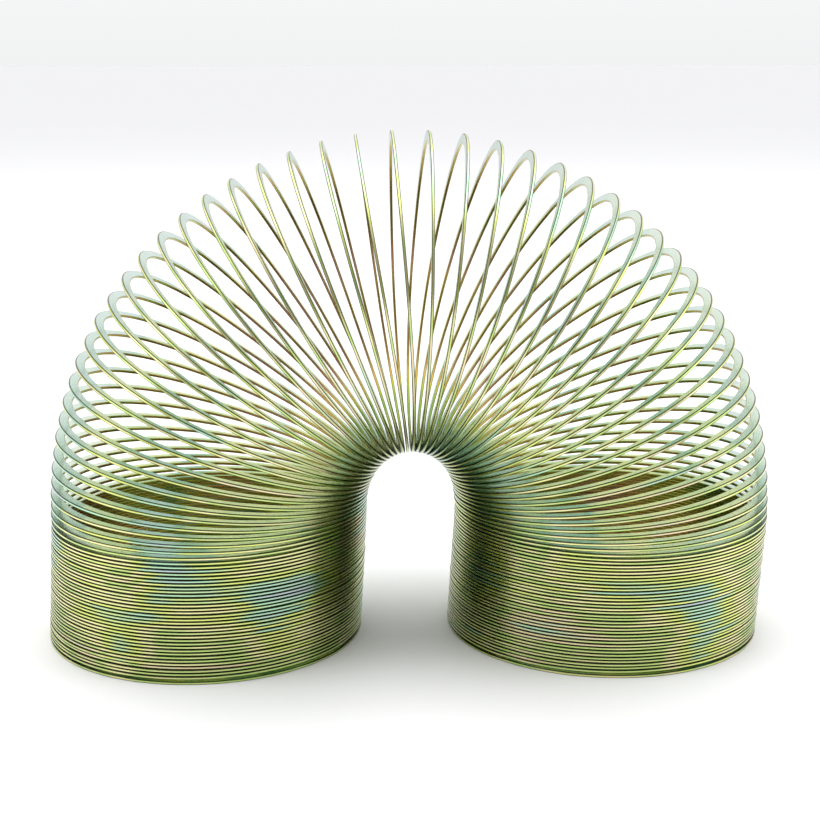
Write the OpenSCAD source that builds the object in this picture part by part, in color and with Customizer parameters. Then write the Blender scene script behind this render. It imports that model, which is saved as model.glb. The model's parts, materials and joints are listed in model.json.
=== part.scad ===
// Spring coil toy: one flat spring wire wound into a long right-handed coil, bent
// over into an arch that stands on its two ends.
//
// The wire runs up the left foot, over the arch towards +X and down the right foot.
// Each arch turn is a piece of its own. It meets its neighbours at its inner rim, where
// the wire crosses the middle plane, and a hinge along Y just inside that rim lets the
// fan of turns close into a straight stack. Each foot is cut in two half way up,
// where its coils draw apart when the arch is lifted.
// Origin: on the floor, in the middle of the outline.

/* [Coil] */
// Outer diameter of the coil
coil_d = 60; // [50:1:72]
// Width of the flat wire, measured along the coil's radius
wire_w = 1.9; // [1.4:0.1:2.4]
// Thickness of the flat wire, measured along the coil's axis
wire_t = 0.55; // [0.4:0.01:0.7]
// Gap that stays between two closed turns
turn_gap = 0.09; // [0.06:0.01:0.2]

/* [Arch] */
// Turns in the arch, an even number
arch_turns = 52; // [40:2:52]
// Hinges from the crown to where the fan's angles have fallen to about a third
fan_spread = 28; // [20:1:50]
// How suddenly the fan dies away at the feet
fan_edge = 4.5; // [2:0.5:8]
// Distance from the wire's inner edge to the hinge line inside the arch
hinge_in = 0.3; // [0.1:0.1:2]

/* [Feet] */
// Turns in the left foot
left_turns = 34; // [20:1:40]
// Turns that the right foot has more, wound closer to be as tall as the left one
extra_turns = 2; // [0:1:2]
// Turns of each foot above the level where it stretches
upper_turns = 17; // [8:1:18]
// Sideways lean of both feet, as a share of their height
foot_lean = 0.06; // [0:0.01:0.08]

/* [Crimps] */
// Length of an end crimp along the wire
crimp_len = 3; // [2:0.5:4]
// Thickness of an end crimp's sheet
crimp_t = 0.35; // [0.2:0.05:0.4]

/* [Hidden] */

wire_colour = "darkseagreen";
crimp_colour = "silver";

// Straight steps in one turn of a foot and in one turn of the arch
foot_steps = 20;
arch_steps = 24;
// Smoothness of the base turns, which are true arcs
ring_fn = 96;
// Hairline left between the cut ends of two neighbouring pieces
cut_gap = 0.02;

// Axial distance between two closed turns
pitch = wire_t + turn_gap;
// Radius of the wire's centre line
mid_r = (coil_d - wire_w) / 2;
// Distance from that line to the hinge line at the inner rim
hinge_r = wire_w / 2 + hinge_in;
// The wire ends at the back of each foot, a quarter turn round from its inner rim
tail_deg = 90;
// The base turn lies flat but for its last steps, a ramp that climbs one pitch. Whole
// steps keep a corner of the coils at the wire's end, in the middle of the crimp.
ramp_steps = 3;
ramp_deg = 360 * ramp_steps / foot_steps;

right_turns = left_turns + extra_turns;

// Angles along the wire are counted from the ends of the arch, so the left foot's are
// negative. The regular coils stop here, one turn short of the wire's ends.
left_stop = tail_deg - 360 * left_turns;
right_stop = tail_deg + 360 * (right_turns - 1);

// Height of the wire's centre line where the arch begins and ends
foot_h = wire_t / 2 + pitch * (1 - left_stop / 360);
// The right foot has its own number of turns in the same height
right_pitch = (foot_h - wire_t / 2) / (1 + right_stop / 360);
left_drift = -foot_lean * pitch / 360;
right_drift = -foot_lean * right_pitch / 360;
lean_x = left_drift * left_stop;

function sum(v, i = 0) = i >= len(v) ? 0 : v[i] + sum(v, i + 1);
function turn_name(i) = str("arch_turn_", i < 10 ? "0" : "", i);

// Hinge j joins turn j - 1 to turn j. The half turn of the arch is shared out among
// hinges 1 to arch_turns + 1, most at the crown.
crown = (arch_turns + 2) / 2;
function fan_share(j) =
    let (off = abs(j - crown)) exp(-off / fan_spread) * (1 - pow(off / crown, fan_edge));
fan_total = sum([for (j = [1:arch_turns + 1]) fan_share(j)]);
function fan_deg(j) = 180 * fan_share(j) / fan_total;

// Outward and axial directions of a turn whose plane is tilted by a degrees
function outward(a) = [-cos(a), 0, sin(a)];
function axial(a) = [sin(a), 0, cos(a)];

// What arch turn i climbs along its rim: a closed pitch, and what its hinges open
function rim_step(i) = pitch + hinge_r * (fan_deg(i) + fan_deg(i + 1)) / 2 * PI / 180;

// [tilt, start of the rim] of arch turn i and of all turns after it, with the right foot last
function rims(i, a, p) =
    i > arch_turns
        ? [[180, p]]
        : concat([[a, p]], rims(i + 1, a + fan_deg(i + 1), p + rim_step(i) * axial(a)));

arch_span = rims(1, fan_deg(1), [0, 0, 0])[arch_turns][1][0];
left_rim = [(lean_x - arch_span) / 2, 0, foot_h];
right_rim = [(lean_x + arch_span) / 2, 0, foot_h];
arch = rims(1, fan_deg(1), left_rim);

// Centres of the two base turns
left_base = [left_rim[0] - mid_r - lean_x, 0, 0];
right_base = [right_rim[0] + mid_r + right_drift * right_stop, 0, 0];

// How far along the foot's axis the wire is at angle q. Past the stop it changes by one
// more pitch over the ramp, to reach the flat base turn.
function climb(q, stop, step) =
    abs(q) <= abs(stop)
        ? step * q / 360
        : step * (stop / 360 + (q - stop) / ramp_deg);

// How far outward the foot's lean has carried the wire at angle q
function drift(q, stop, slope) = slope * (abs(q) <= abs(stop) ? q : stop);

// The four corners of the wire at angle q of a turn with tilt a and its rim at p
function section(a, p, q, rise, shift = 0) =
    let (
        radial = -cos(q) * outward(a) + [0, sin(q), 0],
        centre = p + (mid_r + shift) * outward(a) + mid_r * radial + rise * axial(a),
        u = wire_w / 2 * radial,
        n = wire_t / 2 * axial(a)
    )
    [centre - u - n, centre + u - n, centre + u + n, centre - u + n];

// Angles along a piece of wire, held back at both ends by half the hairline
function angles(q0, q1, steps) =
    let (hold = cut_gap / mid_r * 90 / PI, n = round((q1 - q0) / 360 * steps))
    [for (i = [0:n]) min(max(q0 + (q1 - q0) * i / n, q0 + hold), q1 - hold)];

// A closed skin over a row of four-cornered sections
module wire(sections) {
    last = 4 * (len(sections) - 1);
    sides = [
        for (s = [0:4:last - 4], k = [0:3])
            let (a = s + k, b = s + (k + 1) % 4)
            each [[a, b, b + 4], [a, b + 4, a + 4]]
    ];
    ends = [[3, 2, 1], [3, 1, 0], [last, last + 1, last + 2], [last, last + 2, last + 3]];
    polyhedron([for (s = sections) each s], concat(sides, ends));
}

module left_coils(q0, q1) {
    color(wire_colour)
        wire([
            for (q = angles(q0, q1, foot_steps))
                section(0, left_rim, q, climb(q, left_stop, pitch), drift(q, left_stop, left_drift))
        ]);
}

module right_coils(q0, q1) {
    color(wire_colour)
        wire([
            for (q = angles(q0, q1, foot_steps))
                section(180, right_rim, q, climb(q, right_stop, right_pitch), drift(q, right_stop, right_drift))
        ]);
}

module arch_turn(i) {
    color(wire_colour)
        wire([
            for (q = angles(0, 360, arch_steps))
                section(arch[i - 1][0], arch[i - 1][1], q, rim_step(i) * q / 360)
        ]);
}

// The flat turn that a foot stands on, from the wire's end to the foot of the ramp
module base_turn(centre) {
    color(wire_colour)
        translate(centre)
            rotate(tail_deg)
                rotate_extrude(angle = 360 - ramp_deg, $fn = ring_fn)
                    translate([mid_r - wire_w / 2, 0])
                        square([wire_w, wire_t]);
}

// A clip pinched over the wire's end and the turn above it. Two cheeks hold both wires
// and a web joins them under the ramp, beyond the wire's end.
module crimp(centre) {
    slack = 0.02;
    // The straight steps of the coils cut inside the true circle by this much
    chord = crimp_len / 2 * tan(180 / foot_steps);
    outer = coil_d / 2 + slack;
    inner = coil_d / 2 - wire_w - chord - slack - abs(foot_lean) * pitch;
    color(crimp_colour)
        translate(centre) {
            for (y = [outer, inner - crimp_t])
                translate([-crimp_len / 2, y, 0])
                    cube([crimp_len, crimp_t, pitch + wire_t]);
            translate([5 * slack, inner - crimp_t, 0])
                cube([crimp_len / 2 - 5 * slack, outer - inner + 2 * crimp_t, crimp_t]);
        }
}

base_turn(left_base);  // left_base_turn
crimp(left_base);  // left_crimp
left_coils(left_stop - ramp_deg, -360 * upper_turns);  // left_lower_coils
left_coils(-360 * upper_turns, 0);  // left_upper_coils
for (i = [1:arch_turns])
    arch_turn(i);
right_coils(0, 360 * upper_turns);  // right_upper_coils
right_coils(360 * upper_turns, right_stop + ramp_deg);  // right_lower_coils
crimp(right_base);  // right_crimp
base_turn(right_base);  // right_base_turn
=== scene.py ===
"""Spring coil toy: a flat spring wire wound into a long coil, arched over two standing feet.

The wire is worked out where it lies when the coil is closed into one straight stack. Points
in the plane of the arch are complex numbers, x + iz, and y is kept beside them.
"""

import json  # noqa: E402
import logging  # noqa: E402
import math  # noqa: E402
from dataclasses import dataclass, field  # noqa: E402
from enum import Enum  # noqa: E402
from typing import NamedTuple  # noqa: E402

import bpy  # noqa: E402
import numpy as np  # noqa: E402
from mathutils import Matrix, Vector  # noqa: E402

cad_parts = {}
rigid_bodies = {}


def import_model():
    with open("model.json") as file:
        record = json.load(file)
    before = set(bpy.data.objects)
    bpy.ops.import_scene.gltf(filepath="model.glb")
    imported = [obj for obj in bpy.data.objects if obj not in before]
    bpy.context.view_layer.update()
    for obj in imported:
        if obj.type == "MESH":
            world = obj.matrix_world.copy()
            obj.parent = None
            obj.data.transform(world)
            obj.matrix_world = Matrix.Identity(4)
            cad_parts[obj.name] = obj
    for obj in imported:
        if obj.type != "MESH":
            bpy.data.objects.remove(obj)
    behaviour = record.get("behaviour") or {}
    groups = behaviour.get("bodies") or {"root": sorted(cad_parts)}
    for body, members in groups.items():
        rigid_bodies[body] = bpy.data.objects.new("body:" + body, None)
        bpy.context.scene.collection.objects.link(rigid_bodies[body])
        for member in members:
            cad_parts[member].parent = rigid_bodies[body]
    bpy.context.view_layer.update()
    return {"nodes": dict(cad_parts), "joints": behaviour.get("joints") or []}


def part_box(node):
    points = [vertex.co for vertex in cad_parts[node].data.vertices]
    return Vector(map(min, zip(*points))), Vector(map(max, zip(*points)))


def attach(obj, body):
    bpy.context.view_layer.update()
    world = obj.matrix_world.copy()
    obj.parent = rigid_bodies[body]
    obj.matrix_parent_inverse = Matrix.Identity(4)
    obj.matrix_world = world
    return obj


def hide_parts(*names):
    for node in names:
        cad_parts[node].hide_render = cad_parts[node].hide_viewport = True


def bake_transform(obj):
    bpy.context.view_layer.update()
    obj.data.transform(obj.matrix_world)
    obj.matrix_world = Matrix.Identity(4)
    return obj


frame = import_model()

log = logging.getLogger("spring_coil_toy")

MM = 0.001
TURN = 360.0
Colour = tuple[float, float, float]
Point = tuple[float, float, float]


class Slot(Enum):
    """The record's material slots."""

    WIRE = "spring_wire"
    CRIMP = "crimp_steel"


class Side(Enum):
    """Which half of a turn a strand is: the wire rises at the back and comes down in front."""

    BACK = "back"
    FRONT = "front"


def smoothstep(t: np.ndarray) -> np.ndarray:
    """3t^2 - 2t^3 with t held between 0 and 1."""
    t = np.clip(t, 0.0, 1.0)
    return t * t * (3.0 - 2.0 * t)


def turned(degrees: np.ndarray) -> np.ndarray:
    """The complex number that turns x + iz clockwise by an angle, as a turn about +Y does."""
    return np.exp(-1j * np.radians(degrees))


# ---------------------------------------------------------------------------
# Meshes
# ---------------------------------------------------------------------------


class Grid(NamedTuple):
    """A tube's points and normals, one row per section, and values carried to the shader."""

    points: np.ndarray
    normals: np.ndarray
    values: dict[str, np.ndarray]


def mesh_object(name: str, grid: Grid) -> bpy.types.Object:
    """Makes a closed tube from rows of sections and caps both ends flat.

    Args:
        name: The piece's name.
        grid: Points and normals shaped (sections, corners, 3), values (sections, corners).

    Returns:
        The object, at the origin, with smooth sides, flat caps and its values as attributes.
    """
    rows, corners = grid.points.shape[:2]
    index = np.arange(rows * corners).reshape(rows, corners)
    a, b = index[:-1], np.roll(index, -1, axis=1)[:-1]
    c, d = np.roll(index, -1, axis=1)[1:], index[1:]
    quads = np.stack([a, b, c, d], axis=-1).reshape(-1, 4)
    p = grid.points.reshape(-1, 3)
    face = np.cross(p[quads[0, 1]] - p[quads[0, 0]], p[quads[0, 3]] - p[quads[0, 0]])
    inward = face @ grid.normals.reshape(-1, 3)[quads[0, 0]] < 0
    if inward:
        quads = quads[:, ::-1]
    first, last = index[0], index[-1]
    caps = [first.tolist(), last[::-1].tolist()] if inward else [first[::-1].tolist(), last.tolist()]

    mesh = bpy.data.meshes.new(name)
    mesh.from_pydata(p.tolist(), [], quads.tolist() + caps)
    mesh.polygons.foreach_set("use_smooth", np.ones(len(mesh.polygons), bool))
    ends = grid.points[[0, -1]].mean(axis=1) - grid.points[[1, -2]].mean(axis=1)
    ends /= np.linalg.norm(ends, axis=1)[:, None]
    loops = [grid.normals.reshape(-1, 3)[quads.ravel()], np.repeat(ends, corners, axis=0)]
    mesh.normals_split_custom_set(np.concatenate(loops).tolist())
    for key, value in grid.values.items():
        attribute = mesh.attributes.new(key, "FLOAT", "POINT")
        attribute.data.foreach_set("value", value.astype(np.float32).ravel())
    mesh.validate()
    piece = bpy.data.objects.new(name, mesh)
    bpy.context.scene.collection.objects.link(piece)
    return piece


def report(piece: bpy.types.Object) -> None:
    """Logs a piece's name and its number of faces."""
    log.info("%s: %d faces", piece.name, len(piece.data.polygons))


# ---------------------------------------------------------------------------
# Shaders
# ---------------------------------------------------------------------------


@dataclass
class Graph:
    """A node tree with short calls for the nodes that the finishes and surroundings use."""

    tree: bpy.types.NodeTree

    def _feed(self, socket: bpy.types.NodeSocket, value: object) -> None:
        """Links a socket to a value, or sets it where the value is a constant."""
        if isinstance(value, bpy.types.NodeSocket):
            self.tree.links.new(value, socket)
        else:
            socket.default_value = value

    def attribute(self, name: str) -> bpy.types.NodeSocket:
        """A value that the mesh carries."""
        node = self.tree.nodes.new("ShaderNodeAttribute")
        node.attribute_name = name
        return node.outputs["Fac"]

    def maths(self, operation: str, *values: object) -> bpy.types.NodeSocket:
        """One Math node."""
        node = self.tree.nodes.new("ShaderNodeMath")
        node.operation = operation
        for socket, value in zip(node.inputs, values):
            self._feed(socket, value)
        return node.outputs[0]

    def band(self, value: object, low: float, high: float) -> bpy.types.NodeSocket:
        """0 below low, 1 above high and smooth between them. Low may be the larger."""
        node = self.tree.nodes.new("ShaderNodeMapRange")
        node.interpolation_type = "SMOOTHSTEP"
        rising = high > low
        for name, number in (
            ("Value", value),
            ("From Min", low if rising else high),
            ("From Max", high if rising else low),
            ("To Min", 0.0 if rising else 1.0),
            ("To Max", 1.0 if rising else 0.0),
        ):
            self._feed(node.inputs[name], number)
        return node.outputs["Result"]

    def combine(self, x: object, y: object, z: object) -> bpy.types.NodeSocket:
        """A vector of three values."""
        node = self.tree.nodes.new("ShaderNodeCombineXYZ")
        for socket, value in zip(node.inputs, (x, y, z)):
            self._feed(socket, value)
        return node.outputs[0]

    def noise(
        self, vector: object, scale: float, detail: float, roughness: float = 0.5
    ) -> bpy.types.NodeSocket:
        """Perlin noise between 0 and 1."""
        node = self.tree.nodes.new("ShaderNodeTexNoise")
        self._feed(node.inputs["Vector"], vector)
        for name, number in (("Scale", scale), ("Detail", detail), ("Roughness", roughness)):
            node.inputs[name].default_value = number
        return node.outputs["Fac"]

    def ramp(self, value: object, stops: tuple[tuple[float, Colour], ...]) -> bpy.types.NodeSocket:
        """Colours spread over a value from 0 to 1."""
        node = self.tree.nodes.new("ShaderNodeValToRGB")
        node.color_ramp.interpolation = "EASE"
        elements = node.color_ramp.elements
        while len(elements) < len(stops):
            elements.new(0.5)
        for element, (at, colour) in zip(elements, stops):
            element.position = at
            element.color = (*colour, 1.0)
        self._feed(node.inputs["Fac"], value)
        return node.outputs["Color"]

    def mix(self, share: object, a: object, b: object) -> bpy.types.NodeSocket:
        """One colour mixed into another."""
        node = self.tree.nodes.new("ShaderNodeMix")
        node.data_type = "RGBA"
        sockets = [s for s in node.inputs if s.type == "RGBA"]
        self._feed(node.inputs["Factor"], share)
        for socket, value in zip(sockets, (a, b)):
            self._feed(socket, (*value, 1.0) if isinstance(value, tuple) else value)
        return [s for s in node.outputs if s.type == "RGBA"][0]

    def bump(self, height: object, strength: float, distance: float) -> bpy.types.NodeSocket:
        """A normal from a height."""
        node = self.tree.nodes.new("ShaderNodeBump")
        node.inputs["Strength"].default_value = strength
        node.inputs["Distance"].default_value = distance
        self._feed(node.inputs["Height"], height)
        return node.outputs["Normal"]


class ShaderGraph(Graph):
    """A material's node tree with one Principled surface."""

    def __init__(self, name: str) -> None:
        """Starts the material.

        Args:
            name: The material's name.
        """
        self.material = bpy.data.materials.new(name)
        self.material.use_nodes = True
        super().__init__(self.material.node_tree)
        self.tree.nodes.clear()
        output = self.tree.nodes.new("ShaderNodeOutputMaterial")
        self.surface = self.tree.nodes.new("ShaderNodeBsdfPrincipled")
        self.tree.links.new(self.surface.outputs[0], output.inputs["Surface"])

    def surface_input(self, name: str, value: object) -> None:
        """Sets or links one input of the Principled surface."""
        self._feed(self.surface.inputs[name], value)


@dataclass(frozen=True)
class IridescentZinc:
    """Bright zinc on drawn spring wire, passivated to drifting mint, lilac and gold films.

    The inner edge is olive and bronze. The outer edge drifts from yellow-green to cream
    and mint; its corners are painted near black, as painted shade in the grooves between
    turns. The side of each turn at the inner rim is painted dark green, as painted shade
    where the feet face each other. The tips of the turns are pale, with small specks.
    """

    face_tints: tuple[tuple[float, Colour], ...] = (
        (0.24, (0.46, 0.45, 0.52)),
        (0.34, (0.30, 0.52, 0.44)),
        (0.43, (0.16, 0.40, 0.20)),
        (0.51, (0.46, 0.62, 0.24)),
        (0.59, (0.62, 0.70, 0.26)),
        (0.68, (0.40, 0.60, 0.36)),
        (0.78, (0.50, 0.46, 0.52)),
    )
    outer_tints: tuple[tuple[float, Colour], ...] = (
        (0.32, (0.46, 0.54, 0.56)),
        (0.39, (0.42, 0.68, 0.46)),
        (0.45, (0.68, 0.76, 0.20)),
        (0.50, (0.82, 0.78, 0.38)),
        (0.55, (0.50, 0.66, 0.20)),
        (0.61, (0.78, 0.66, 0.38)),
        (0.68, (0.44, 0.68, 0.46)),
    )
    inner_tints: tuple[tuple[float, Colour], ...] = (
        (0.30, (0.16, 0.22, 0.03)),
        (0.44, (0.32, 0.30, 0.04)),
        (0.56, (0.40, 0.26, 0.06)),
        (0.70, (0.32, 0.17, 0.10)),
    )
    tip_tint: Colour = (0.66, 0.76, 0.72)
    # Painted shade, dark green, on the turns' side at the inner rim, where the feet face each other.
    painted_rim_shade_tint: Colour = (0.05, 0.16, 0.02)
    # Painted shade, near black, in the outer edge's corners, for the grooves between turns.
    painted_groove_shade_tint: Colour = (0.006, 0.012, 0.003)
    speck_tint: Colour = (0.05, 0.07, 0.06)
    streak_tint: Colour = (0.92, 0.94, 0.90)
    roughness: float = 0.24
    drift_scale: float = 1.2
    drift_per_turn: float = 0.03
    turn_scale: float = 2.3
    tip_share: float = 0.75
    # How strongly the painted rim shade and the painted groove shade are laid on.
    painted_rim_shade_share: float = 0.35
    painted_groove_shade_share: float = 0.93
    streak_share: float = 0.16
    patch_share: float = 0.6

    def film_place(self, g: ShaderGraph, along: object, angle: object) -> object:
        """A helix in noise space, so that neighbouring turns keep nearly the same film.

        Args:
            g: The node tree.
            along: Turns along the wire.
            angle: The same in radians.

        Returns:
            The vector (cos angle, sin angle, turns times the drift).
        """
        drift = g.maths("MULTIPLY", along, self.drift_per_turn)
        return g.combine(g.maths("COSINE", angle), g.maths("SINE", angle), drift)

    def film(self, g: ShaderGraph, along: object, across: object, angle: object) -> object:
        """The film's colour: faces, tips, outer edge and inner edge, with painted shade at the rim and in
        the outer edge's dark corners.

        Args:
            g: The node tree.
            along: Turns along the wire.
            across: -1 at the inner edge and 1 at the outer edge.
            angle: Angle along the wire in radians.

        Returns:
            The colour.
        """
        place = self.film_place(g, along, angle)
        colour = g.ramp(g.noise(place, self.drift_scale, 3.0, 0.55), self.face_tints)
        at_tip = g.band(g.maths("COSINE", angle), -0.55, -1.0)
        colour = g.mix(g.maths("MULTIPLY", at_tip, self.tip_share), colour, self.tip_tint)

        patch_noise = g.noise(place, self.drift_scale * 1.2, 1.0)
        turn_noise = g.noise(g.combine(along, 0.0, 0.0), self.turn_scale, 2.0)
        patches = g.maths("MULTIPLY", patch_noise, self.patch_share)
        turns = g.maths("MULTIPLY", turn_noise, 1.0 - self.patch_share)
        outer = g.ramp(g.maths("ADD", patches, turns), self.outer_tints)
        inner = g.ramp(g.noise(place, self.drift_scale * 1.3, 2.0), self.inner_tints)
        colour = g.mix(g.band(across, 0.70, 0.92), colour, outer)
        colour = g.mix(g.band(across, -0.70, -0.90), colour, inner)

        # Painted shade: the turns' side at the inner rim, where the two feet face each other, is darkened
        # to a dark green.
        rim_shade_mask = g.band(g.maths("COSINE", angle), 0.4, 1.0)
        colour = g.mix(g.maths("MULTIPLY", rim_shade_mask, self.painted_rim_shade_share), colour, self.painted_rim_shade_tint)
        # Painted shade: the outer edge's rounded corners are darkened near black, standing for the shaded
        # grooves between neighbouring turns.
        height = g.band(g.maths("ABSOLUTE", g.attribute("through")), 0.34, 0.66)
        corner = g.maths("MULTIPLY", height, g.band(across, 0.72, 0.82))
        return g.mix(g.maths("MULTIPLY", corner, self.painted_groove_shade_share), colour, self.painted_groove_shade_tint)

    def specks(self, g: ShaderGraph, along: object, across: object, angle: object) -> object:
        """Short dark marks on the inner part of the faces, near the tips only.

        Args:
            g: The node tree.
            along: Turns along the wire.
            across: -1 at the inner edge and 1 at the outer edge.
            angle: Angle along the wire in radians.

        Returns:
            1 on a speck and 0 elsewhere.
        """
        at = g.combine(g.maths("MULTIPLY", along, 90.0), g.maths("MULTIPLY", across, 0.9), 0.0)
        marks = g.band(g.noise(at, 1.0, 2.0, 0.7), 0.70, 0.74)
        at_tip = g.band(g.maths("COSINE", angle), -0.90, -0.985)
        on_face = g.band(g.maths("ABSOLUTE", g.maths("ADD", across, 0.35)), 0.5, 0.3)
        return g.maths("MULTIPLY", g.maths("MULTIPLY", marks, at_tip), on_face)

    def material(self) -> bpy.types.Material:
        """Builds the finish. It reads how far along, across and through the wire a point is.

        Returns:
            The material.
        """
        g = ShaderGraph("iridescent_zinc")
        along, across = g.attribute("along"), g.attribute("across")
        angle = g.maths("MULTIPLY", along, math.tau)
        colour = self.film(g, along, across, angle)

        along_grain, across_grain = g.maths("MULTIPLY", along, 6.0), g.maths("MULTIPLY", across, 1.4)
        streaks = g.noise(g.combine(along_grain, across_grain, g.attribute("through")), 9.0, 4.0, 0.6)
        bright = g.maths("MULTIPLY", g.band(streaks, 0.52, 0.72), self.streak_share)
        colour = g.mix(bright, colour, self.streak_tint)
        specks = self.specks(g, along, across, angle)

        g.surface_input("Base Color", g.mix(specks, colour, self.speck_tint))
        g.surface_input("Metallic", 1.0)
        rough = g.maths("ADD", g.maths("MULTIPLY", streaks, 0.14), self.roughness - 0.07)
        g.surface_input("Roughness", g.maths("ADD", rough, g.maths("MULTIPLY", specks, 0.3)))
        g.surface_input("Normal", g.bump(streaks, 0.12, 0.02 * MM))
        return g.material


@dataclass(frozen=True)
class PlainZinc:
    """Zinc-plated sheet with a fine grain, duller and rougher where the grain runs high."""

    tint: Colour = (0.70, 0.71, 0.72)
    dull_tint: Colour = (0.48, 0.49, 0.50)
    roughness: float = 0.34
    grain_scale: float = 2200.0

    def material(self) -> bpy.types.Material:
        """Builds the finish on object coordinates.

        Returns:
            The material.
        """
        g = ShaderGraph("plain_zinc")
        place = g.tree.nodes.new("ShaderNodeTexCoord").outputs["Object"]
        grain = g.noise(place, self.grain_scale, 4.0, 0.6)
        g.surface_input("Base Color", g.mix(g.band(grain, 0.40, 0.65), self.tint, self.dull_tint))
        g.surface_input("Metallic", 1.0)
        rough = g.maths("MULTIPLY", grain, 0.2)
        g.surface_input("Roughness", g.maths("ADD", rough, self.roughness - 0.1))
        g.surface_input("Normal", g.bump(grain, 0.2, 0.02 * MM))
        return g.material


@dataclass(frozen=True)
class PaleTable:
    """The plain pale top that the toy stands on."""

    tint: Colour = (0.92, 0.92, 0.93)
    roughness: float = 0.6

    def material(self) -> bpy.types.Material:
        """Builds the finish, with a faint mottle so that it isn't one flat colour.

        Returns:
            The material.
        """
        g = ShaderGraph("pale_table")
        place = g.tree.nodes.new("ShaderNodeTexCoord").outputs["Object"]
        darker = tuple(c * 0.985 for c in self.tint)
        g.surface_input("Base Color", g.mix(g.noise(place, 6.0, 2.0), self.tint, darker))
        g.surface_input("Roughness", self.roughness)
        g.surface_input("Specular IOR Level", 0.3)
        return g.material


# ---------------------------------------------------------------------------
# The wire
# ---------------------------------------------------------------------------


@dataclass(frozen=True)
class FlatWire:
    """The wire's section: a flat strip with round corners, as rolled."""

    width: float = 1.9 * MM
    thickness: float = 0.55 * MM
    corner: float = 0.21 * MM
    corner_steps: int = 3
    steps_per_turn: int = 128

    def outline(self) -> tuple[np.ndarray, np.ndarray]:
        """Quarter circles of the corner radius round the centres of the four corners.

        Returns:
            Points (radial, axial) and outward normals (radial, axial), as complex arrays.
        """
        quarter = np.linspace(0.0, math.pi / 2, self.corner_steps + 1)
        normals = np.exp(1j * (quarter[None, :] + np.arange(4)[:, None] * math.pi / 2))
        middle = (self.width / 2 - self.corner) + 1j * (self.thickness / 2 - self.corner)
        centres = np.array([middle, -middle.conjugate(), -middle, middle.conjugate()])
        points = centres[:, None] + self.corner * normals
        return points.ravel(), normals.ravel()


@dataclass(frozen=True)
class Lay:
    """Where the wire's centre line runs in the closed stack, by its angle from the arch's start.

    Attributes:
        rise: Height above the arch's start.
        shift: How far outward the turn's centre has drifted.
    """

    rise: np.ndarray
    shift: np.ndarray


@dataclass(frozen=True)
class Waver:
    """The slight unevenness of a sprung coil: sums of slow waves along the wire."""

    radial: float = 0.045 * MM
    axial: float = 0.018 * MM
    waves: int = 9
    seed: int = 11

    def along(self, turns: np.ndarray, size: float, shift: int) -> np.ndarray:
        """Adds sines whose lengths run from a third of a turn to a few turns.

        Args:
            turns: Place along the wire.
            size: About how large the result may be.
            shift: Chooses one of several unlike sums.

        Returns:
            The offsets in metres.
        """
        random = np.random.default_rng(self.seed + shift)
        rates = math.tau * random.uniform(0.15, 2.8, self.waves)
        phases = random.uniform(0.0, math.tau, self.waves)
        return size * np.sin(turns[..., None] * rates + phases).sum(-1) / math.sqrt(self.waves)


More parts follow.
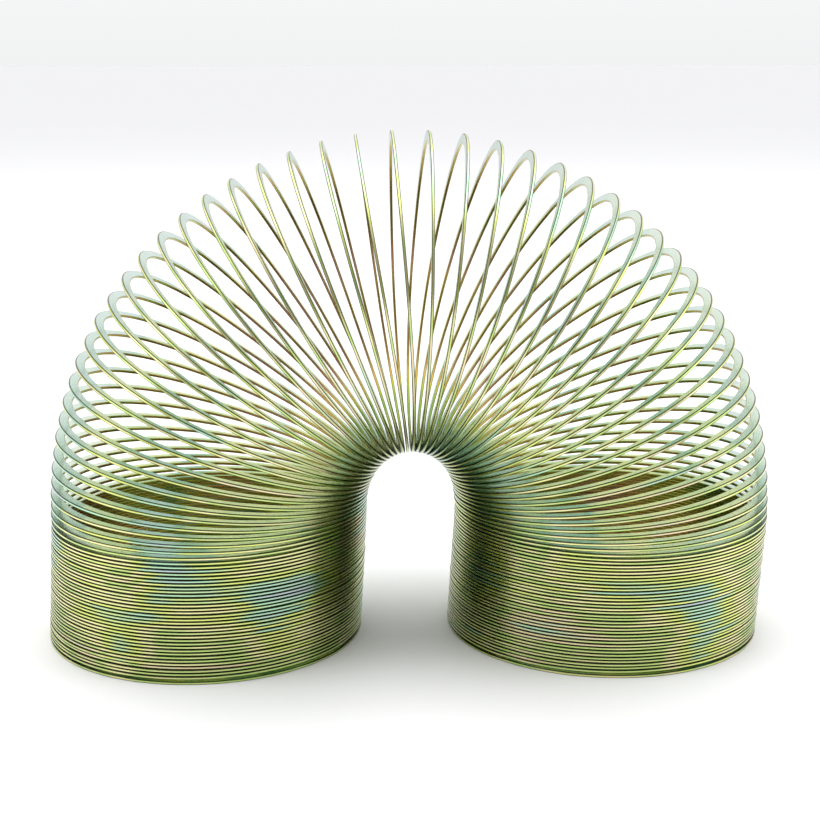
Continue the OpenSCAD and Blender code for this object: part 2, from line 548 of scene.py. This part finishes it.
@dataclass
class Coil:
    """The whole coil: its sizes from the frame, its hinges, and the wire laid along it."""

    wire: FlatWire = FlatWire()
    waver: Waver = Waver()
    arch_turns: int = 52
    left_turns: int = 34
    right_turns: int = 36
    foot_lean: float = 0.06
    tail_deg: float = 90.0
    ramp_deg: float = 54.0
    mid_r: float = field(init=False)
    foot_h: float = field(init=False)
    pitch: float = field(init=False)
    right_pitch: float = field(init=False)
    arch_pitch: float = field(init=False)
    left_rim: complex = field(init=False)
    right_rim: complex = field(init=False)
    hinges: np.ndarray = field(init=False)
    opening: np.ndarray = field(init=False)
    bodies: list[str] = field(init=False)
    turn: np.ndarray = field(init=False)
    move: np.ndarray = field(init=False)

    def __post_init__(self) -> None:
        """Reads the sizes and the hinges from the frame.

        Body 0 is the left foot's top, bodies 1 to arch_turns are the turns and the last is
        the right foot's top. Hinge j joins body j - 1 to body j. When the coil closes, body
        i moves as c -> turn[i] * c + move[i].
        """
        low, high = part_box("left_base_turn")
        self.mid_r = (high.y - low.y - self.wire.width) / 2
        half = self.wire.thickness / 2
        self.foot_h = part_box("left_upper_coils")[1].z - half
        self.pitch = (self.foot_h - half) / (1 - self.left_stop / TURN)
        self.right_pitch = (self.foot_h - half) / (1 + self.right_stop / TURN)
        lean = self.foot_lean * (self.foot_h - half - np.array([self.pitch, self.right_pitch]))
        self.left_rim = (low.x + high.x) / 2 + lean[0] + self.mid_r + 1j * self.foot_h
        low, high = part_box("right_base_turn")
        self.right_rim = (low.x + high.x) / 2 + lean[1] - self.mid_r + 1j * self.foot_h

        rims = (j for j in frame["joints"] if j["name"].startswith("rim_hinge"))
        found = sorted(rims, key=lambda j: j["name"])
        self.hinges = np.array([j["pos_m"][0] + 1j * j["pos_m"][2] for j in found])
        self.opening = np.array([-j["range_deg"][0] for j in found])
        self.bodies = [found[0]["parent"]] + [j["child"] for j in found]
        tilt = np.concatenate([[0.0], np.cumsum(self.opening)])
        self.turn, self.move = turned(-tilt), np.zeros(len(tilt), complex)
        for i, hinge in enumerate(self.hinges, 1):
            self.move[i] = (self.turn[i - 1] - self.turn[i]) * hinge + self.move[i - 1]
        closed_rim = self.turn[-1] * self.right_rim + self.move[-1]
        self.arch_pitch = (closed_rim - self.left_rim).imag / self.arch_turns

    @property
    def left_stop(self) -> float:
        """The angle where the left foot's ramp meets its regular turns."""
        return self.tail_deg - TURN * self.left_turns

    @property
    def right_stop(self) -> float:
        """The same in the right foot, counted from the foot's top."""
        return self.tail_deg + TURN * (self.right_turns - 1)

    def lay(self, degrees: np.ndarray) -> Lay:
        """Follows the wire: flat base turn, ramp, left foot, arch, right foot, ramp, base turn.

        The rise is in proportion to the angle along each stretch, a smoothstep over a ramp
        and level round a base turn. Both feet drift sideways in proportion to their height.

        Args:
            degrees: Angles along the wire, 0 where the arch starts.

        Returns:
            The centre line's place at each angle.
        """
        end = TURN * self.arch_turns
        left = np.clip(degrees, self.left_stop, 0.0)
        arch = np.clip(degrees, 0.0, end)
        right = np.clip(degrees - end, 0.0, self.right_stop)
        past_left = smoothstep((self.left_stop - degrees) / self.ramp_deg)
        past_right = smoothstep((degrees - end - self.right_stop) / self.ramp_deg)
        rise = self.pitch * (left / TURN - past_left) + self.arch_pitch * arch / TURN
        rise = rise + self.right_pitch * (right / TURN + past_right)
        shift = -self.foot_lean * (self.pitch * left + self.right_pitch * right) / TURN
        return Lay(rise, shift)

    def settle(self, degrees: np.ndarray) -> np.ndarray:
        """0 at the base turns, which lie flat, and 1 from two turns above them."""
        end = TURN * self.arch_turns
        left = smoothstep((degrees - self.left_stop) / (2 * TURN))
        right = smoothstep((end + self.right_stop - degrees) / (2 * TURN))
        return left * right

    def sections(self, degrees: np.ndarray) -> tuple[np.ndarray, ...]:
        """Carries the wire's outline along the closed stack.

        A corner r from the coil's centre and n above the start, at angle q round the turn,
        is mid_r + shift - r cos q outward from the rim, r sin q in y and n up.

        Args:
            degrees: Angles along the wire.

        Returns:
            Complex place in the arch's plane, y, and the same two for the normals.
        """
        outline, normal = self.wire.outline()
        lay, q = self.lay(degrees), np.radians(degrees)[:, None]
        calm = self.settle(degrees)
        turns = degrees / TURN
        dr = self.waver.along(turns, self.waver.radial, 0) * calm
        dn = self.waver.along(turns, self.waver.axial, 1) * calm
        radius = self.mid_r + dr[:, None] + outline.real
        rise = (lay.rise + dn)[:, None] + outline.imag
        outward = self.mid_r + lay.shift[:, None] - radius * np.cos(q)
        place = self.left_rim - outward + 1j * rise
        facing = normal.real * np.cos(q) + 1j * normal.imag
        return place, radius * np.sin(q), facing, normal.real * np.sin(q)

    def strand(self, degrees: np.ndarray, spread: "Spread") -> Grid:
        """Lays a stretch of wire at rest and notes how far along and across it each point is.

        Args:
            degrees: Angles along the wire.
            spread: How the stretch opens from the closed stack.

        Returns:
            The tube's rows of points, normals and values.
        """
        place, y, facing, facing_y = self.sections(degrees)
        place, turn = spread.open(place)
        facing = facing * turn
        outline, _ = self.wire.outline()
        ones = np.ones_like(y)
        return Grid(
            np.stack([place.real, y, place.imag], axis=-1),
            np.stack([facing.real, facing_y, facing.imag], axis=-1),
            {
                "along": (degrees / TURN)[:, None] * ones,
                "across": outline.real / (self.wire.width / 2) * ones,
                "through": outline.imag / (self.wire.thickness / 2) * ones,
            },
        )

    def angles(self, start: float, end: float) -> np.ndarray:
        """Even steps along the wire, as near as can be to the wire's own number per turn."""
        steps = max(2, round((end - start) / TURN * self.wire.steps_per_turn))
        return np.linspace(start, end, steps + 1)


@dataclass(frozen=True)
class Spread:
    """Takes a stretch from the closed stack to rest.

    Attributes:
        turn: Turn of the body that the stretch starts from.
        move: Move of that body.
        hinge: Hinge that the stretch bends round, if it bends.
        angle: Degrees that the hinge opens.
        rim: Place of the rim in the closed stack, outward from which the bend is shared.
        reach: Distance from the rim to the outer tip.
        side: The half turn, which says whether the share grows or falls outward.
    """

    turn: complex
    move: complex
    hinge: complex = 0j
    angle: float = 0.0
    rim: float = 0.0
    reach: float = 1.0
    side: Side = Side.BACK

    def share(self, place: np.ndarray) -> np.ndarray:
        """Half the bend at the rim, all of it at a back strand's tip and none at a front's."""
        way = (self.rim - place.real) / (2 * self.reach)
        return smoothstep(0.5 + way) if self.side is Side.BACK else smoothstep(0.5 - way)

    def open(self, place: np.ndarray) -> tuple[np.ndarray, np.ndarray]:
        """Undoes the body's closing and turns each point about the hinge by its share.

        Args:
            place: Complex places in the closed stack.

        Returns:
            The places at rest and the turn that each one made.
        """
        bend = turned(self.angle * self.share(place))
        at_rest = (place - self.move) / self.turn
        return self.hinge + (at_rest - self.hinge) * bend, bend / self.turn


@dataclass
class Dresser:
    """Gives pieces their finish, slot and the CAD nodes they stand for."""

    finishes: dict[Slot, bpy.types.Material]

    def dress(self, piece: bpy.types.Object, slot: Slot, *nodes: str) -> None:
        """Puts the slot's finish on a piece that stands for some nodes."""
        piece.data.materials.append(self.finishes[slot])
        if nodes:
            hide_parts(*nodes)
        report(piece)


@dataclass
class Arch:
    """The turns that stand free of each other, in two half turns to each hinge."""

    coil: Coil

    def half_turn(self, hinge: int, side: Side) -> bpy.types.Object:
        """The strand that meets a hinge: the front of the turn before or the back of the one after.

        Args:
            hinge: Number of the hinge, from 1.
            side: Which of the two strands.

        Returns:
            The piece, bent between the hinge's two bodies.
        """
        coil, j = self.coil, hinge - 1
        start = TURN * j - (TURN / 2 if side is Side.FRONT else 0.0)
        reach = 2 * coil.mid_r
        spread = Spread(
            coil.turn[j], coil.move[j], coil.hinges[j], coil.opening[j], coil.left_rim.real, reach, side
        )
        number = j if side is Side.FRONT else hinge
        name = f"arch_turn_{number:02d}_{side.value}"
        if number == 0:
            name = "left_foot_top_strand"
        elif number > coil.arch_turns:
            name = "right_foot_top_strand"
        piece = mesh_object(name, coil.strand(coil.angles(start, start + TURN / 2), spread))

        rim = np.array([coil.left_rim + 1j * coil.arch_pitch * j])
        rim = spread.open(rim)[0][0]
        outward = -turned(np.cumsum(coil.opening)[j] - coil.opening[j] / 2) * reach
        ends = [rim - outward, rim + outward]
        if side is Side.FRONT:
            ends.reverse()
        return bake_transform(piece)

    def build(self, dresser: Dresser) -> None:
        """Makes every half turn, with the top strands of both feet at the ends."""
        for hinge in range(1, self.coil.arch_turns + 2):
            for side in (Side.FRONT, Side.BACK):
                piece = self.half_turn(hinge, side)
                node = piece.name.rpartition("_")[0]
                known = node in frame["nodes"]
                dresser.dress(piece, Slot.WIRE, *([node] if known else []))


@dataclass
class Foot:
    """One standing end of the coil: its coils, its flat base turn and the wire's end."""

    coil: Coil
    name: str
    is_left: bool

    def spread(self) -> Spread:
        """The foot moves whole when the coil closes."""
        i = 0 if self.is_left else -1
        return Spread(self.coil.turn[i], self.coil.move[i])

    def coils(self) -> bpy.types.Object:
        """The foot's turns from the ramp to half a turn below its top.

        Returns:
            The piece, at the origin, with its place in the foot baked into its mesh.
        """
        coil = self.coil
        end = TURN * coil.arch_turns
        if self.is_left:
            angles = coil.angles(coil.left_stop - coil.ramp_deg, -TURN / 2)
        else:
            angles = coil.angles(end + TURN / 2, end + coil.right_stop + coil.ramp_deg)
        piece = mesh_object(f"{self.name}_foot_coils", coil.strand(angles, self.spread()))
        if self.is_left:
            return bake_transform(piece)
        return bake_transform(piece)

    def base_turn(self) -> bpy.types.Object:
        """The level turn that the foot stands on, from the wire's end to the ramp."""
        coil = self.coil
        end = TURN * coil.arch_turns
        if self.is_left:
            angles = coil.angles(coil.left_stop - TURN, coil.left_stop - coil.ramp_deg)
        else:
            angles = coil.angles(end + coil.right_stop + coil.ramp_deg, end + coil.right_stop + TURN)
        piece = mesh_object(f"{self.name}_base_wire", coil.strand(angles, self.spread()))
        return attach(piece, f"{self.name}_base")

    def build(self, dresser: Dresser) -> None:
        """Makes the foot's wire pieces."""
        side = self.name
        dresser.dress(self.coils(), Slot.WIRE, f"{side}_lower_coils", f"{side}_upper_coils")
        dresser.dress(self.base_turn(), Slot.WIRE, f"{side}_base_turn")


@dataclass
class Crimp:
    """A strip of sheet bent into a U over the wire's end and the turn above it.

    Attributes:
        name: Which foot it is on.
        sheet: Thickness of the sheet.
        bend: Radius of both bends, at the sheet's middle.
        rounding: Radius of the strip's corners as a share of the sheet.
        top_room: How far the cheeks stop below the top of the node's box.
        cutaway: Share of the strip's length left out under the wire.
        taper_top: Where the cutaway begins, in bends above the bottom.
        taper_height: Height over which it grows, in bends.
        path_steps: Steps in a cheek, a bend and the web.
        corner_steps: Steps in a corner of the strip.
    """

    name: str
    sheet: float = 0.3 * MM
    bend: float = 0.3 * MM
    rounding: float = 0.45
    top_room: float = 0.1 * MM
    cutaway: float = 0.54
    taper_top: float = 3.0
    taper_height: float = 1.6
    path_steps: int = 12
    corner_steps: int = 3

    def path(self) -> tuple[np.ndarray, np.ndarray]:
        """Down the outer cheek, a quarter circle, across under the ramp, and up the inner cheek.

        Returns:
            Complex points y + iz of the sheet's middle, and their directions.
        """
        low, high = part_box(f"{self.name}_crimp")
        half, r = self.sheet / 2, self.bend
        left, right = low.y + half + r, high.y - half - r
        floor = low.z + half + r
        arc = np.linspace(0.0, -math.pi / 2, self.path_steps)
        first = right + 1j * floor + r * np.exp(1j * arc)
        second = left + 1j * floor + r * np.exp(1j * (arc - math.pi / 2))
        top = high.z - self.top_room
        cheeks = np.linspace(top, floor, self.path_steps, endpoint=False)
        across = np.linspace(right, left, self.path_steps + 1)[1:-1] + 1j * (floor - r)
        points = np.concatenate(
            [right + r + 1j * cheeks, first, across, second, left - r + 1j * cheeks[::-1]]
        )
        along = np.gradient(points)
        return points, along / abs(along)

    def build(self, dresser: Dresser) -> None:
        """Carries a rounded strip along the path, narrower under the wire, beside the wire's end."""
        low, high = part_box(f"{self.name}_crimp")
        points, along = self.path()
        taper = low.z + self.taper_top * self.bend - points.imag
        under = smoothstep(taper / (self.taper_height * self.bend))
        left = low.x + (high.x - low.x) * self.cutaway * under
        strip = FlatWire(1.0, self.sheet, self.sheet * self.rounding, self.corner_steps)
        outline, normal = strip.outline()
        x = left[:, None] + (high.x - left)[:, None] * 0.5 + np.sign(outline.real) * (
            (high.x - left)[:, None] / 2 - (0.5 - abs(outline.real))
        )
        across = -1j * along[:, None]
        place = points[:, None] + across * outline.imag
        facing = across * normal.imag
        grid = Grid(
            np.stack([x, place.real, place.imag], axis=-1),
            np.stack([normal.real * np.ones_like(x), facing.real, facing.imag], axis=-1),
            {},
        )
        piece = mesh_object(f"{self.name}_end_crimp", grid)
        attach(piece, f"{self.name}_base")
        dresser.dress(piece, Slot.CRIMP, f"{self.name}_crimp")


# ---------------------------------------------------------------------------
# The studio
# ---------------------------------------------------------------------------


@dataclass(frozen=True)
class Softbox:
    """A square light and the point it faces."""

    name: str
    at: Point
    aim: Point
    size: float
    watts: float
    tint: Colour = (1.0, 1.0, 1.0)

    def build(self) -> None:
        """Hangs the light."""
        light = bpy.data.lights.new(self.name, "AREA")
        light.shape, light.size, light.energy, light.color = "SQUARE", self.size, self.watts, self.tint
        lamp = bpy.data.objects.new(self.name, light)
        lamp.location = self.at
        lamp.rotation_euler = (Vector(self.aim) - Vector(self.at)).to_track_quat("-Z", "Y").to_euler()
        bpy.context.scene.collection.objects.link(lamp)


@dataclass(frozen=True)
class Camera:
    """The camera by where it looks, how high it stands and how far away."""

    aim: Point = (0.00051, 0.0, 0.04262)
    elevation: float = 12.945
    heading: float = 2.131
    roll: float = -0.076
    distance: float = 0.29441
    focal_mm: float = 67.90
    sensor_mm: float = 36.0

    def build(self) -> None:
        """Sets the scene's camera. Heading turns it towards +X and roll tips its top over."""
        up, side, tip = (math.radians(a) for a in (self.elevation, self.heading, self.roll))
        ahead = Vector((math.sin(side) * math.cos(up), math.cos(side) * math.cos(up), -math.sin(up)))
        right = Vector((math.cos(side), -math.sin(side), 0.0))
        top = right.cross(ahead)
        across = right * math.cos(tip) + top * math.sin(tip)
        over = top * math.cos(tip) - right * math.sin(tip)
        data = bpy.data.cameras.new("camera")
        data.lens, data.sensor_width = self.focal_mm, self.sensor_mm
        data.clip_start, data.clip_end = 0.01, 100.0
        camera = bpy.data.objects.new("camera", data)
        turn = Matrix((across, over, -ahead)).transposed().to_4x4()
        camera.matrix_world = Matrix.Translation(Vector(self.aim) - ahead * self.distance) @ turn
        bpy.context.scene.collection.objects.link(camera)
        bpy.context.scene.camera = camera


@dataclass
class Studio:
    """Pale table, pale surroundings and soft lights.

    Attributes:
        floor_size: Side of the square table top.
        sky: Colour overhead and behind the toy.
        haze: Colour level with the table's far edge.
        dim: Colour in front of the toy.
        haze_heights: Heights of a direction between which haze turns into sky.
        dim_depths: Depths of a direction between which dim turns into the rest.
        lights: The softboxes.
    """

    floor_size: float = 30.0
    sky: Colour = (1.10, 1.10, 1.11)
    haze: Colour = (0.885, 0.89, 0.895)
    dim: Colour = (0.30, 0.30, 0.31)
    haze_heights: tuple[float, float] = (-0.02, 0.22)
    dim_depths: tuple[float, float] = (-0.95, -0.15)
    lights: tuple[Softbox, ...] = (
        Softbox("top_softbox", (0.0, 0.15, 0.9), (0.0, 0.0, 0.03), 1.1, 6.0),
        Softbox("left_softbox", (-0.9, -0.25, 0.45), (0.0, 0.0, 0.05), 0.6, 1.5),
        Softbox("right_softbox", (0.9, -0.1, 0.45), (0.0, 0.0, 0.05), 0.6, 1.5),
    )

    def build(self) -> None:
        """Lays the table, sets the surroundings and hangs the lights."""
        half = self.floor_size / 2
        mesh = bpy.data.meshes.new("table_top")
        corners = half * np.array([(-1.0, -1.0, 0.0), (1.0, -1.0, 0.0), (1.0, 1.0, 0.0), (-1.0, 1.0, 0.0)])
        mesh.from_pydata(corners.tolist(), [], [(0, 1, 2, 3)])
        table = bpy.data.objects.new("table_top", mesh)
        mesh.materials.append(PaleTable().material())
        bpy.context.scene.collection.objects.link(table)
        self.surroundings()
        for light in self.lights:
            light.build()
        bpy.context.scene.view_settings.view_transform = "Standard"

    def surroundings(self) -> None:
        """A pale room, dim in front of the toy, where the light is blocked."""
        world = bpy.data.worlds.new("surroundings")
        world.use_nodes = True
        g = Graph(world.node_tree)
        split = g.tree.nodes.new("ShaderNodeSeparateXYZ")
        place = g.tree.nodes.new("ShaderNodeTexCoord").outputs["Generated"]
        g.tree.links.new(place, split.inputs[0])
        behind = g.mix(g.band(split.outputs["Z"], *self.haze_heights), self.haze, self.sky)
        everywhere = g.mix(g.band(split.outputs["Y"], *self.dim_depths), self.dim, behind)
        g.tree.links.new(everywhere, g.tree.nodes["Background"].inputs["Color"])
        bpy.context.scene.world = world


def main() -> None:
    """Builds the toy and its studio in order."""
    logging.basicConfig(level=logging.INFO, format="%(name)s %(message)s")
    dresser = Dresser({Slot.WIRE: IridescentZinc().material(), Slot.CRIMP: PlainZinc().material()})
    coil = Coil()
    Foot(coil, "left", True).build(dresser)
    Arch(coil).build(dresser)
    Foot(coil, "right", False).build(dresser)
    for side in ("left", "right"):
        Crimp(side).build(dresser)
    Studio().build()
    Camera().build()


if __name__ == "__main__":
    main()
